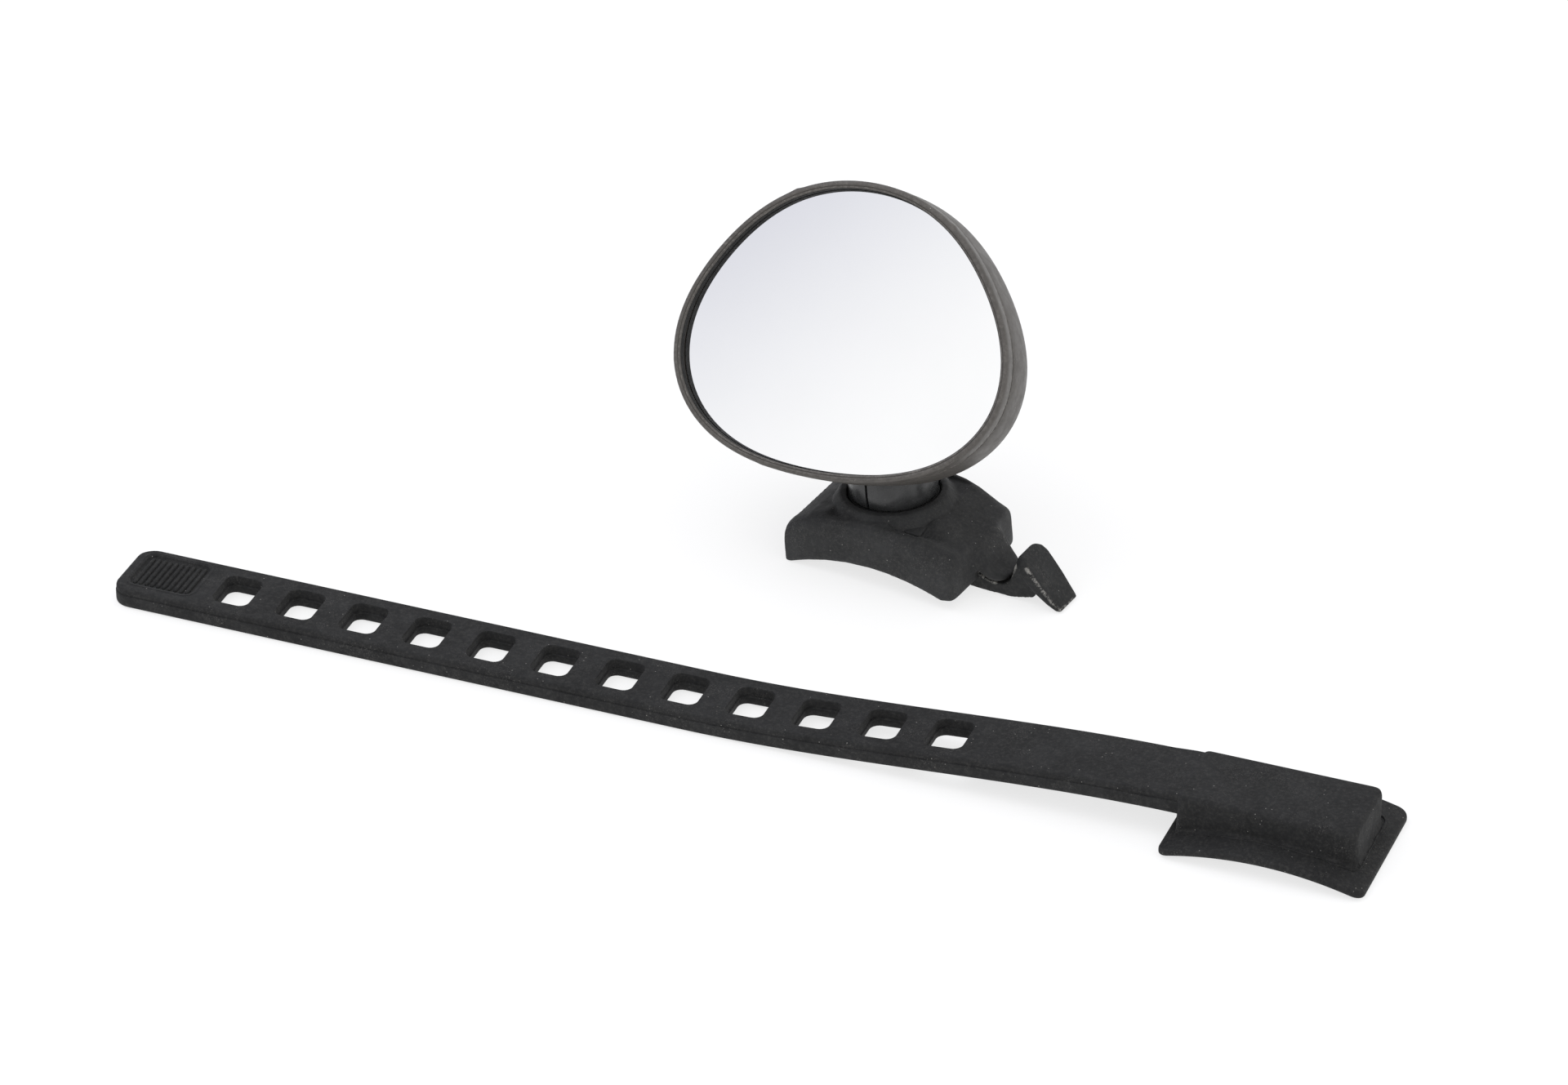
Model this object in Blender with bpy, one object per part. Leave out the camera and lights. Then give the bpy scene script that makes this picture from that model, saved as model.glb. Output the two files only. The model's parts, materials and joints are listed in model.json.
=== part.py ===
"""Strap-on handlebar mirror, laid out ready to fit.

A convex mirror in a plastic head stands on a ball stud. The ball sits in a slit cup, and the
cup turns in a rubber saddle with a hard hook at its right end. The perforated rubber strap lies
in front of the saddle. Metres, +Z up, the surface that everything stands on is z = 0. The
origin is on the strap's flat underside, on the web between two holes; +X runs along the strap
to its anchor block and the mirror faces -Y.
"""

from math import cos, pi, radians, sin

import bmesh
import bpy
from mathutils import Matrix, Vector

MM = 0.001
GAP = 0.3 * MM                      # clearance between neighbouring pieces

# Strap
HOLE_PITCH = 10.0 * MM
HOLE_COUNT = 12
HOLE_LENGTH = 5.3 * MM
HOLE_WIDTH = 7.0 * MM
HOLE_CORNER = 1.3 * MM
FIRST_HOLE_X = -65.0 * MM
BAND_WIDTH = 12.2 * MM
BAND_THICK = 2.9 * MM
TIP_X = -82.8 * MM
RISE_START_X = 6.8 * MM             # the band leaves the surface here
RISE_HEIGHT = 4.2 * MM
BLOCK_X = (80.4 * MM, 106.5 * MM)
BLOCK_WIDTH = 12.8 * MM
BLOCK_TOP = 7.5 * MM
RIB_PITCH = 0.92 * MM
RIB_COUNT = 10
RIB_START_X = -80.5 * MM
RIB_LENGTH = 6.9 * MM
RIB_MIDDLE_Y = 0.35 * MM
RIB_GROOVE = 0.4 * MM
RIB_DEPTH = 0.5 * MM

# Anchor pad under the block
PAD_X = (79.2 * MM, 109.0 * MM)
PAD_WIDTH = 22.2 * MM
PAD_THICK = 1.2 * MM
PAD_ARCH = 2.1 * MM

# Saddle, in its own frame: z = 0 at its feet, the socket's axis is x = y = 0
SADDLE_PLACE = (18.83 * MM, 48.68 * MM, 1.03 * MM)
SADDLE_YAW = radians(-8.5)
SADDLE_LEAN = radians(-4.5)         # it rests on its left feet and the hook's tip
SADDLE_LEFT = -13.5 * MM
SADDLE_HALF_DEPTH = 10.15 * MM
ARCH_PEAK = 2.0 * MM
ARCH_PEAK_X = -1.0 * MM
ARCH_RADIUS = 33.0 * MM
COLLAR_TOP = 10.0 * MM
COLLAR_BORE_R = 6.95 * MM
COLLAR_RIM_R = 8.1 * MM
COLLAR_FOOT_R = 9.0 * MM
POCKET_RIGHT = 10.6 * MM            # hollow for the strap's anchor block
POCKET_HALF_WIDTH = 6.7 * MM
POCKET_TOP = 6.4 * MM

# Core plate and hook
PLATE_Z = (7.1 * MM, 7.9 * MM)
PLATE_HALF_LENGTH = 8.0 * MM
PLATE_HALF_WIDTH = 7.2 * MM
PLATE_HOLE_R = 5.3 * MM
HOOK_HALF_WIDTH = 2.5 * MM
PADDLE_TILT = radians(38)          # its face looks this far above +X

# Ball joint
BALL_Z = 12.1 * MM
BALL_R = 4.4 * MM
SEAT_R = 4.6 * MM
CUP_TOP = 15.3 * MM
CUP_R = 6.7 * MM
CUP_FOOT_R = 5.0 * MM
CUP_BOTTOM = 6.3 * MM
SLIT_WIDTH = 0.4 * MM
SLIT_BOTTOM = 8.9 * MM
SLIT_COUNT = 3
SLIT_TURN = radians(-96)
STEM_R = 1.3 * MM
CLEAR_R = 7.6 * MM                  # the head is hollowed to this radius round the ball
CLEAR_WALL = 0.8 * MM

# Head, in its own frame: origin at the ball, -Y is the way the mirror faces, +Z its top
HEAD_YAW = radians(-2)
HEAD_LEAN = radians(-34)
HEAD_ROLL = radians(-4)             # its top leans a little to the left
HEAD_MIDDLE = (-6.7 * MM, -12.7 * MM, 18.4 * MM)    # middle of the rim's front plane
OUTLINE_R = 22.5 * MM
OUTLINE_STEPS = 64
GLASS_R = 245.0 * MM                # convex front
GLASS_EDGE = 1.8 * MM
GLASS_BACK = 3.0 * MM


# ---------------------------------------------------------------- helpers

def clear_scene():
    for thing in list(bpy.data.objects):
        bpy.data.objects.remove(thing, do_unlink=True)


def material(name, colour, roughness, metallic=0.0):
    paint = bpy.data.materials.new(name)
    paint.use_nodes = True
    shader = paint.node_tree.nodes["Principled BSDF"]
    shader.inputs["Base Color"].default_value = (*colour, 1.0)
    shader.inputs["Roughness"].default_value = roughness
    shader.inputs["Metallic"].default_value = metallic
    return paint


def empty(name, parent=None, place=(0, 0, 0), turn=(0, 0, 0)):
    thing = bpy.data.objects.new(name, None)
    bpy.context.scene.collection.objects.link(thing)
    thing.parent = parent
    thing.location = place
    thing.rotation_euler = turn
    return thing


def finish(name, bm, paint=None, parent=None, place=(0, 0, 0), turn=(0, 0, 0)):
    """Turns a bmesh into a named object with outward faces and smooth round sides."""
    bmesh.ops.recalc_face_normals(bm, faces=bm.faces)
    if bm.calc_volume(signed=True) < 0:
        bmesh.ops.reverse_faces(bm, faces=bm.faces)
    mesh = bpy.data.meshes.new(name)
    bm.to_mesh(mesh)
    bm.free()
    mesh.shade_smooth()
    mesh.set_sharp_from_angle(angle=radians(35))
    thing = bpy.data.objects.new(name, mesh)
    bpy.context.scene.collection.objects.link(thing)
    thing.parent = parent
    thing.location = place
    thing.rotation_euler = turn
    if paint:
        mesh.materials.append(paint)
    return thing


def cutter(name, bm, parent=None, place=(0, 0, 0), turn=(0, 0, 0)):
    thing = finish(name, bm, None, parent, place, turn)
    thing.hide_render = True
    thing.display_type = "WIRE"
    return thing


def combine(target, tool, operation="DIFFERENCE"):
    change = target.modifiers.new(tool.name, "BOOLEAN")
    change.operation = operation
    change.solver = "EXACT"
    change.object = tool


def skin(bm, rings, closed):
    """Joins equal rings of points in order; a closed skin joins the last to the first."""
    rows = [[bm.verts.new(point) for point in ring] for ring in rings]
    count = len(rows[0])
    pairs = list(zip(rows, rows[1:]))
    if closed:
        pairs.append((rows[-1], rows[0]))
    for low, high in pairs:
        for i in range(count):
            j = (i + 1) % count
            bm.faces.new((low[i], low[j], high[j], high[i]))
    if not closed:
        bm.faces.new(rows[0][::-1])
        bm.faces.new(rows[-1])


def loft(rings):
    bm = bmesh.new()
    skin(bm, rings, closed=False)
    return bm


def prism(outline, low, high, axis="y"):
    """Extrudes an XZ outline along Y, or an XY outline along Z."""
    if axis == "y":
        return loft([[(x, level, z) for x, z in outline] for level in (low, high)])
    return loft([[(x, y, level) for x, y in outline] for level in (low, high)])


def box(x, y, z):
    return prism([(x[0], z[0]), (x[1], z[0]), (x[1], z[1]), (x[0], z[1])], y[0], y[1])


def turned(profile, steps=40):
    """Revolves a closed (r, z) profile about Z; points on the axis become a single point."""
    bm = bmesh.new()
    shared = {k: bm.verts.new((0, 0, z)) for k, (r, z) in enumerate(profile) if r == 0}
    rows = []
    for i in range(steps):
        angle = 2 * pi * i / steps
        row = []
        for k, (r, z) in enumerate(profile):
            row.append(shared.get(k) or bm.verts.new((r * cos(angle), r * sin(angle), z)))
        rows.append(row)
    count = len(profile)
    for i in range(steps):
        a, b = rows[i], rows[(i + 1) % steps]
        for k in range(count):
            m = (k + 1) % count
            corners = [a[k], b[k], b[m], a[m]]
            distinct = [v for n, v in enumerate(corners) if v not in corners[:n]]
            if len(distinct) > 2:
                bm.faces.new(distinct)
    return bm


def arc(centre, radius, start, end, steps):
    """Points on an arc, angles in degrees."""
    points = []
    for i in range(steps + 1):
        angle = radians(start + (end - start) * i / steps)
        points.append((centre[0] + radius * cos(angle), centre[1] + radius * sin(angle)))
    return points


def rounded_rectangle(length, width, corner, steps=3):
    x, y = length / 2 - corner, width / 2 - corner
    points = arc((x, y), corner, 0, 90, steps)
    points += arc((-x, y), corner, 90, 180, steps)
    points += arc((-x, -y), corner, 180, 270, steps)
    points += arc((x, -y), corner, 270, 360, steps)
    return points


def slab_ring(x, half_width, low, high, corner, foot=None):
    """A section across X from low to high, with its top corners and feet rounded."""
    corner = min(corner, 0.45 * (high - low), 0.9 * half_width)
    foot = min(foot or corner, corner)
    outline = arc((half_width - corner, high - corner), corner, 0, 90, 3)
    outline += arc((corner - half_width, high - corner), corner, 90, 180, 3)
    outline += arc((foot - half_width, low + foot), foot, 180, 270, 2)
    outline += arc((half_width - foot, low + foot), foot, 270, 360, 2)
    return [(x, y, z) for y, z in outline]


# ---------------------------------------------------------------- strap

def band_rise(x):
    """Height of the band's underside: flat on the surface, then an easy rise to the block."""
    u = (x - RISE_START_X) / (BLOCK_X[0] - RISE_START_X)
    u = min(max(u, 0.0), 1.0)
    return RISE_HEIGHT * u * u * (3 - 2 * u)


def pad_underside(x):
    middle = sum(PAD_X) / 2
    half = (PAD_X[1] - PAD_X[0]) / 2
    return PAD_ARCH * max(0.0, 1 - ((x - middle) / half) ** 2)


def strap_band(paint):
    half = BAND_WIDTH / 2
    rings = []
    for step, inset in ((0.0, 2.6), (0.5, 1.3), (1.4, 0.5), (2.8, 0.0)):
        rings.append(slab_ring(TIP_X + step * MM, half - inset * MM, 0, BAND_THICK, 0.5 * MM))
    rings.append(slab_ring(RISE_START_X, half, 0, BAND_THICK, 0.5 * MM))
    stations = 14
    for i in range(1, stations + 1):
        x = RISE_START_X + (BLOCK_X[0] - RISE_START_X) * i / stations
        low = band_rise(x)
        rings.append(slab_ring(x, half, low, low + BAND_THICK, 0.5 * MM))
    half = BLOCK_WIDTH / 2
    stations = 10
    for i in range(stations + 1):
        x = BLOCK_X[0] + 0.4 * MM + (BLOCK_X[1] - 2.2 * MM - BLOCK_X[0]) * i / stations
        low = pad_underside(x) + PAD_THICK + GAP
        rings.append(slab_ring(x, half, low, BLOCK_TOP, 0.7 * MM))
    for step, inset in ((1.0, 0.5), (0.3, 1.4), (0.0, 2.6)):
        x = BLOCK_X[1] - step * MM
        low = pad_underside(x) + PAD_THICK + GAP
        rings.append(slab_ring(x, half - inset * MM, low, BLOCK_TOP, 0.7 * MM))
    band = finish("strap_band", loft(rings), paint)
    combine(band, hole_cutters())
    combine(band, rib_cutters())
    return band


def hole_cutters():
    bm = bmesh.new()
    outline = rounded_rectangle(HOLE_LENGTH, HOLE_WIDTH, HOLE_CORNER)
    for i in range(HOLE_COUNT):
        x = FIRST_HOLE_X + i * HOLE_PITCH
        rings = [[(x + a, b, z) for a, b in outline] for z in (-2 * MM, 9 * MM)]
        skin(bm, rings, closed=False)
    return cutter("hole_cutters", bm)


def rib_cutters():
    bm = bmesh.new()
    left, right = RIB_MIDDLE_Y - RIB_LENGTH / 2, RIB_MIDDLE_Y + RIB_LENGTH / 2
    for i in range(RIB_COUNT + 1):
        x = RIB_START_X + i * RIB_PITCH
        end = x + RIB_GROOVE
        corners = [(x, left), (end, left), (end, right), (x, right)]
        low, high = BAND_THICK - RIB_DEPTH, BAND_THICK + 1 * MM
        rings = [[(a, b, z) for a, b in corners] for z in (low, high)]
        skin(bm, rings, closed=False)
    return cutter("rib_cutters", bm)


def anchor_pad(paint):
    half = PAD_WIDTH / 2
    ends = ((0.0, 1.6), (0.3, 0.8), (0.8, 0.3), (1.6, 0.0))
    length = PAD_X[1] - PAD_X[0]
    places = [(PAD_X[0] + step * MM, inset * MM) for step, inset in ends]
    inner = 10
    for i in range(1, inner):
        places.append((PAD_X[0] + 1.6 * MM + (length - 3.2 * MM) * i / inner, 0.0))
    places += [(PAD_X[1] - step * MM, inset * MM) for step, inset in reversed(ends)]
    rings = []
    for x, inset in places:
        low = pad_underside(x)
        rings.append(slab_ring(x, half - inset, low, low + PAD_THICK, 0.4 * MM))
    return finish("anchor_pad", loft(rings), paint)


# ---------------------------------------------------------------- saddle

def arch(x):
    return ARCH_PEAK - (x - ARCH_PEAK_X) ** 2 / (2 * ARCH_RADIUS)


def saddle_blank():
    """Body of the saddle as sections along X: place, half depth, top, and the nose's underside."""
    tops = ((-13.2, 10.0, 5.9), (-12.5, 10.15, 6.5), (-11.3, 10.15, 7.2), (-9.6, 10.15, 8.0),
            (-6.5, 10.15, 8.8), (-3.0, 10.15, 9.2), (1.0, 10.15, 9.3), (4.0, 10.15, 9.25),
            (7.0, 10.0, 8.9), (9.4, 9.8, 8.3), (11.1, 9.7, 7.5), (12.6, 9.7, 6.6))
    nose = ((14.2, 9.6, -0.6, 5.95), (14.6, 9.0, -0.45, 5.9), (14.85, 7.6, -0.1, 5.85),
            (14.95, 5.2, 0.6, 5.8), (15.2, 4.2, 1.7, 5.75), (15.9, 3.9, 1.25, 5.4),
            (16.5, 3.8, 0.85, 4.4), (17.15, 3.75, 0.45, 2.7), (17.6, 3.6, 0.25, 1.9),
            (18.1, 3.4, 0.1, 1.4), (18.7, 2.9, 0.05, 1.0), (19.15, 2.1, 0.1, 0.75),
            (19.4, 1.3, 0.2, 0.6))
    rings = [slab_ring(SADDLE_LEFT, 9.2 * MM, 0.8 * MM, 5.2 * MM, 2.0 * MM, 0.6 * MM)]
    for x, half, top in tops:
        low = max(arch(x * MM), 0.0) if x < 0 else arch(x * MM)
        ring = slab_ring(x * MM, half * MM, low, top * MM, 2.0 * MM, 0.6 * MM)
        rings.append(lean_forward(ring, SADDLE_HALF_DEPTH - half * MM))
    for x, half, low, top in nose:
        ring = slab_ring(x * MM, half * MM, low * MM, top * MM, 2.0 * MM, 0.6 * MM)
        rings.append(lean_forward(ring, 0.45 * MM if x < 14.9 else 0.0))
    return loft(rings)


def lean_forward(ring, shift):
    """Moves a section towards -Y, so that only the back of the saddle narrows."""
    return [(x, y - shift, z) for x, y, z in ring]


def saddle_body(paint, frame):
    body = finish("saddle_body", saddle_blank(), paint, frame)
    dish = prism([(x * MM, z * MM) for x, z in
                  ((-9.5, 9.4), (-6.0, 8.6), (5.0, 8.6), (8.5, 8.3), (9.5, 12), (-9.5, 12))],
                 -8.2 * MM, 8.2 * MM)
    combine(body, cutter("dish_cutter", dish, frame))
    boss = turned([(0, 8.0 * MM), (COLLAR_FOOT_R, 8.0 * MM), (COLLAR_FOOT_R, 8.7 * MM),
                   (COLLAR_RIM_R + 0.2 * MM, COLLAR_TOP - 0.4 * MM),
                   (COLLAR_RIM_R - 0.2 * MM, COLLAR_TOP), (0, COLLAR_TOP)], 48)
    combine(body, cutter("collar_boss", boss, frame), "UNION")
    bore = turned([(0, 6.0 * MM), (COLLAR_BORE_R, 6.0 * MM), (COLLAR_BORE_R, COLLAR_TOP - 0.4 * MM),
                   (COLLAR_BORE_R + 0.15 * MM, COLLAR_TOP + 1 * MM), (0, COLLAR_TOP + 1 * MM)],
                  48)
    combine(body, cutter("collar_bore", bore, frame))
    hollow = box((SADDLE_LEFT - 2 * MM, POCKET_RIGHT),
                 (-POCKET_HALF_WIDTH, POCKET_HALF_WIDTH), (-5 * MM, POCKET_TOP))
    combine(body, cutter("block_pocket", hollow, frame))
    room = box((-PLATE_HALF_LENGTH - GAP, PLATE_HALF_LENGTH + GAP),
               (-PLATE_HALF_WIDTH - GAP, PLATE_HALF_WIDTH + GAP),
               (POCKET_TOP - 0.2 * MM, PLATE_Z[1] + GAP))
    combine(body, cutter("plate_room", room, frame))
    slot = prism([(x * MM, z * MM) for x, z in
                  ((8.0, 6.3), (8.0, 8.2), (10.3, 7.6), (11.8, 6.6), (13.0, 5.3), (13.6, 3.3),
                   (14.2, 1.9), (15.4, 0.7), (16.6, 0.1), (18.0, -0.1), (20.0, -0.1),
                   (20.0, -5.0), (10.3, -5.0))],
                 -HOOK_HALF_WIDTH - GAP, HOOK_HALF_WIDTH + GAP)
    combine(body, cutter("tongue_slot", slot, frame))
    return body


def paddle():
    """The hook's tilted plate, as sections down its length: top face, thickness, half width."""
    stations = (((21.9, 4.8), 0.8, 1.9), ((22.2, 4.7), 1.2, 2.5), ((22.8, 4.3), 1.7, 3.1),
                ((23.6, 3.5), 2.0, 3.3), ((24.8, 1.85), 2.0, 3.3), ((26.0, 0.25), 1.7, 3.2),
                ((27.2, -1.35), 1.35, 2.95), ((28.1, -2.5), 0.9, 2.7), ((28.4, -2.85), 0.5, 2.4))
    out_x, out_z = cos(PADDLE_TILT), sin(PADDLE_TILT)
    rings = []
    for (x, z), thick, half in stations:
        section = slab_ring(0, half * MM, -thick * MM, 0, 0.5 * MM)
        rings.append([(x * MM + out_x * k, y, z * MM + out_z * k) for _, y, k in section])
    return loft(rings)


def core_and_hook(paint, frame):
    """Hard plate under the socket, with a tongue that turns down into the hook."""
    outline = ((-8.0, 7.1), (9.6, 6.9), (10.9, 6.0), (11.4, 1.5), (12.3, -0.8), (13.3, -2.0),
               (14.5, -2.15), (20.2, -2.35), (22.3, -1.95), (23.8, -1.6), (24.4, -0.3),
               (23.4, 1.9), (22.2, 3.5), (21.3, 3.7), (20.9, 2.9), (20.6, 1.8), (20.1, 0.6),
               (19.6, -0.1), (19.0, -0.4), (18.0, -0.45), (16.5, -0.3), (15.2, 0.3),
               (13.9, 1.4), (13.2, 3.0), (12.7, 4.9), (11.5, 6.2), (10.1, 7.2), (8.0, 7.9),
               (-8.0, 7.9))
    spine = prism([(x * MM, z * MM) for x, z in outline], -HOOK_HALF_WIDTH, HOOK_HALF_WIDTH)
    core = finish("core_and_hook", spine, paint, frame)
    combine(core, cutter("hook_paddle", paddle(), frame), "UNION")
    plate = box((-PLATE_HALF_LENGTH, PLATE_HALF_LENGTH),
                (-PLATE_HALF_WIDTH, PLATE_HALF_WIDTH), PLATE_Z)
    combine(core, cutter("core_plate", plate, frame), "UNION")
    hole = turned([(0, 5 * MM), (PLATE_HOLE_R, 5 * MM), (PLATE_HOLE_R, 9 * MM), (0, 9 * MM)], 40)
    combine(core, cutter("core_hole", hole, frame))
    return core


# ---------------------------------------------------------------- ball joint

def socket_cup(paint, frame):
    seat = arc((0, BALL_Z), SEAT_R, -90, 34, 12)
    profile = [(r, z) for r, z in seat[1:]]
    profile = [(0, BALL_Z - SEAT_R)] + profile
    profile += [(4.2 * MM, CUP_TOP), (CUP_R - 0.4 * MM, CUP_TOP), (CUP_R, CUP_TOP - 0.4 * MM),
                (CUP_R, 12.0 * MM), (6.5 * MM, 9.9 * MM), (6.1 * MM, 9.8 * MM),
                (6.1 * MM, 9.1 * MM), (6.4 * MM, 9.0 * MM), (6.3 * MM, 8.6 * MM),
                (CUP_FOOT_R, 8.6 * MM), (CUP_FOOT_R, 7.05 * MM), (4.6 * MM, 7.05 * MM),
                (4.6 * MM, 6.55 * MM), (CUP_FOOT_R, 6.55 * MM), (CUP_FOOT_R, CUP_BOTTOM),
                (0, CUP_BOTTOM)]
    place = [(r, z - BALL_Z) for r, z in profile]
    cup = finish("socket_cup", turned(place, 40), paint, frame)
    bm = bmesh.new()
    half = SLIT_WIDTH / 2
    for i in range(SLIT_COUNT):
        spin = Matrix.Rotation(SLIT_TURN + 2 * pi * i / SLIT_COUNT, 3, "Z")
        corners = [(2.5 * MM, -half), (9 * MM, -half), (9 * MM, half), (2.5 * MM, half)]
        rings = []
        for z in (SLIT_BOTTOM - BALL_Z, CUP_TOP + MM - BALL_Z):
            rings.append([spin @ Vector((x, y, z)) for x, y in corners])
        skin(bm, rings, closed=False)
    combine(cup, cutter("cup_slits", bm, frame))
    return cup


def ring_about(name, inner, outer, low, high, paint, frame, steps=40):
    """A flat ring; heights are above the saddle's feet, the frame is at the ball."""
    profile = [(inner, low - BALL_Z), (outer, low - BALL_Z), (outer, high - BALL_Z),
               (inner, high - BALL_Z)]
    return finish(name, turned(profile, steps), paint, frame)


def tension_ring(paint, frame):
    """Rubber ring in the cup's groove, which keeps the slit cup closed on the ball."""
    section = arc((6.5 * MM, 9.45 * MM - BALL_Z), 0.27 * MM, 0, 300, 5)
    return finish("tension_ring", turned(section, 40), paint, frame)


def ball_stud(paint, frame):
    """Ball, stem and flange, with a blind hole for the screw; the stem runs up +Z."""
    ball = arc((0, 0), BALL_R, -90, 72, 12)
    profile = [(0, -BALL_R)] + ball[1:]
    profile += [(STEM_R, 4.5 * MM), (STEM_R, 6.0 * MM), (2.8 * MM, 6.0 * MM),
                (2.8 * MM, 6.8 * MM), (1.35 * MM, 6.8 * MM), (1.35 * MM, 8.8 * MM),
                (0.75 * MM, 8.8 * MM), (0.75 * MM, 4.0 * MM), (0, 4.0 * MM)]
    return finish("ball_stud", turned(profile, 32), paint, frame)


def stud_washer(paint, frame):
    profile = [(0.9 * MM, 9.1 * MM), (2.6 * MM, 9.1 * MM), (2.6 * MM, 9.5 * MM),
               (0.9 * MM, 9.5 * MM)]
    return finish("stud_washer", turned(profile, 24), paint, frame)


def stud_screw(paint, frame):
    profile = [(0, 4.4 * MM), (0.55 * MM, 4.7 * MM), (0.55 * MM, 9.7 * MM),
               (2.0 * MM, 9.7 * MM), (2.0 * MM, 10.4 * MM), (1.4 * MM, 10.8 * MM),
               (0.8 * MM, 10.8 * MM), (0, 10.1 * MM)]
    return finish("stud_screw", turned(profile, 24), paint, frame)


# ---------------------------------------------------------------- head

def outline_radius(angle):
    """Egg-shaped outline of the glass, symmetric left to right, widest below its middle."""
    wide = 1.82 * MM * cos(2 * angle)
    point = -1.15 * MM * sin(3 * angle) - 0.2 * MM * sin(5 * angle)
    return OUTLINE_R + wide + point + 0.1 * MM * sin(angle)


def outline_ring(depth, offset=0.0, scale=1.0, flare=0.0):
    """The outline in the head's frame, pushed out by offset, depth behind the rim's front.

    A flare adds to the offset at the head's sides, and nothing at its top.
    """
    ring = []
    for i in range(OUTLINE_STEPS):
        angle = 2 * pi * i / OUTLINE_STEPS
        side = abs(cos(angle)) * (1 - max(0.0, sin(angle)))
        r = (outline_radius(angle) + offset + flare * side) * scale
        x, y, z = HEAD_MIDDLE
        ring.append((x + r * cos(angle), y + depth, z + r * sin(angle)))
    return ring


def bezel_ring(paint, frame):
    section = ((0.0, 0.35), (0.25, 0.05), (0.6, 0.0), (0.95, 0.15), (1.17, 0.55), (1.2, 2.5),
               (0.45, 2.5), (0.45, 4.15), (-2.0, 4.15), (-2.0, 3.7), (0.0, 3.7))
    bm = bmesh.new()
    skin(bm, [outline_ring(depth * MM, offset * MM) for offset, depth in section], closed=True)
    return finish("bezel_ring", bm, paint, frame)


def domed_disc(offset, edge, back, bulge_radius, rows=4):
    """A plate with the head's outline, flat behind and bulging forward."""
    bm = bmesh.new()
    rim = OUTLINE_R + offset
    rings = [outline_ring(back, offset)]
    for k in range(rows):
        scale = 1 - k / rows
        sag = (rim * rim * (1 - scale * scale)) / (2 * bulge_radius)
        rings.append(outline_ring(edge - sag, offset, scale))
    skin(bm, rings, closed=False)
    return bm


def mirror_glass(paint, frame):
    disc = domed_disc(-0.15 * MM, GLASS_EDGE, GLASS_BACK, GLASS_R)
    return finish("mirror_glass", disc, paint, frame)


def glass_pad(paint, frame):
    rings = [outline_ring(3.15 * MM, -0.4 * MM), outline_ring(3.55 * MM, -0.4 * MM)]
    return finish("glass_pad", loft(rings), paint, frame)


def head_shell(paint, frame):
    outside = ((2.8, 1.15, 1.0, 0.1), (4.4, 1.2, 1.0, 0.25), (8.0, 1.1, 1.0, 0.25),
               (10.5, 0.75, 1.0, 0.15), (12.0, 0.2, 1.0, 0.1), (13.4, -0.2, 0.96, 0.0),
               (14.7, -0.3, 0.88, 0.0), (15.8, -0.3, 0.75, 0.0), (16.6, -0.3, 0.57, 0.0),
               (17.1, -0.3, 0.35, 0.0), (17.3, -0.3, 0.14, 0.0))
    inside = ((2.0, 0.6, 1.0), (5.2, 0.6, 1.0), (8.0, 0.1, 1.0), (10.5, -0.4, 1.0),
              (11.8, -0.3, 0.955), (13.1, -0.3, 0.89), (14.2, -0.3, 0.79), (15.1, -0.3, 0.64),
              (15.7, -0.3, 0.45), (16.0, -0.3, 0.24), (16.1, -0.3, 0.1))
    outer = loft([outline_ring(d * MM, o * MM, s, f * MM) for d, o, s, f in outside])
    inner = loft([outline_ring(d * MM, o * MM, s) for d, o, s in inside])
    shell = finish("head_shell", outer, paint, frame)
    cavity = cutter("shell_cavity", inner, frame)
    combine(cavity, ball_room("ball_room_wall", CLEAR_R + CLEAR_WALL, frame))
    combine(shell, cavity)
    combine(shell, ball_room("ball_room", CLEAR_R, frame))
    return shell


def ball_room(name, radius, frame):
    profile = [(0, -radius)] + arc((0, 0), radius, -90, 90, 16)[1:-1] + [(0, radius)]
    return cutter(name, turned(profile, 40), frame)


# ---------------------------------------------------------------- the whole

def main():
    clear_scene()
    rubber = material("strap_rubber", (0.03, 0.031, 0.033), 0.75)
    saddle_paint = material("saddle_rubber", (0.042, 0.044, 0.046), 0.7)
    hard = material("hook_plastic", (0.035, 0.037, 0.039), 0.5)
    gloss = material("socket_plastic", (0.03, 0.031, 0.033), 0.15)
    shell_paint = material("head_plastic", (0.115, 0.11, 0.105), 0.55)
    mirror = material("mirror_silver", (0.92, 0.93, 0.94), 0.03, 1.0)
    foam = material("pad_foam", (0.02, 0.02, 0.02), 0.9)
    steel = material("plated_steel", (0.55, 0.55, 0.56), 0.3, 1.0)
    nylon = material("washer_nylon", (0.6, 0.6, 0.58), 0.5)

    strap_band(rubber)
    anchor_pad(rubber)

    saddle = empty("saddle_frame", None, SADDLE_PLACE, (0, SADDLE_LEAN, SADDLE_YAW))
    saddle_body(saddle_paint, saddle)
    core_and_hook(hard, saddle)

    ball = empty("ball_frame", saddle, (0, 0, BALL_Z))
    socket_cup(gloss, ball)
    ring_about("friction_washer", 5.3 * MM, 6.3 * MM, 8.1 * MM, 8.4 * MM, nylon, ball)
    ring_about("socket_circlip", 4.75 * MM, 5.9 * MM, 6.65 * MM, 6.95 * MM, steel, ball)
    tension_ring(rubber, ball)
    stud = ball_stud(hard, ball)
    stud_washer(steel, ball)
    stud_screw(steel, ball)

    place = Matrix.Translation(SADDLE_PLACE) @ Matrix.Rotation(SADDLE_YAW, 4, "Z")
    place = place @ Matrix.Rotation(SADDLE_LEAN, 4, "Y")
    centre = place @ Vector((0, 0, BALL_Z))
    head = empty("head_frame", None, centre, (HEAD_LEAN, HEAD_ROLL, HEAD_YAW))
    head.rotation_mode = "YXZ"
    bezel_ring(shell_paint, head)
    mirror_glass(mirror, head)
    glass_pad(foam, head)
    shell = head_shell(shell_paint, head)
    hole = turned([(0, 6 * MM), (1.65 * MM, 6 * MM), (1.65 * MM, 9.6 * MM), (0, 9.6 * MM)], 24)
    combine(shell, cutter("stud_hole", hole, ball))


main()
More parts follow.
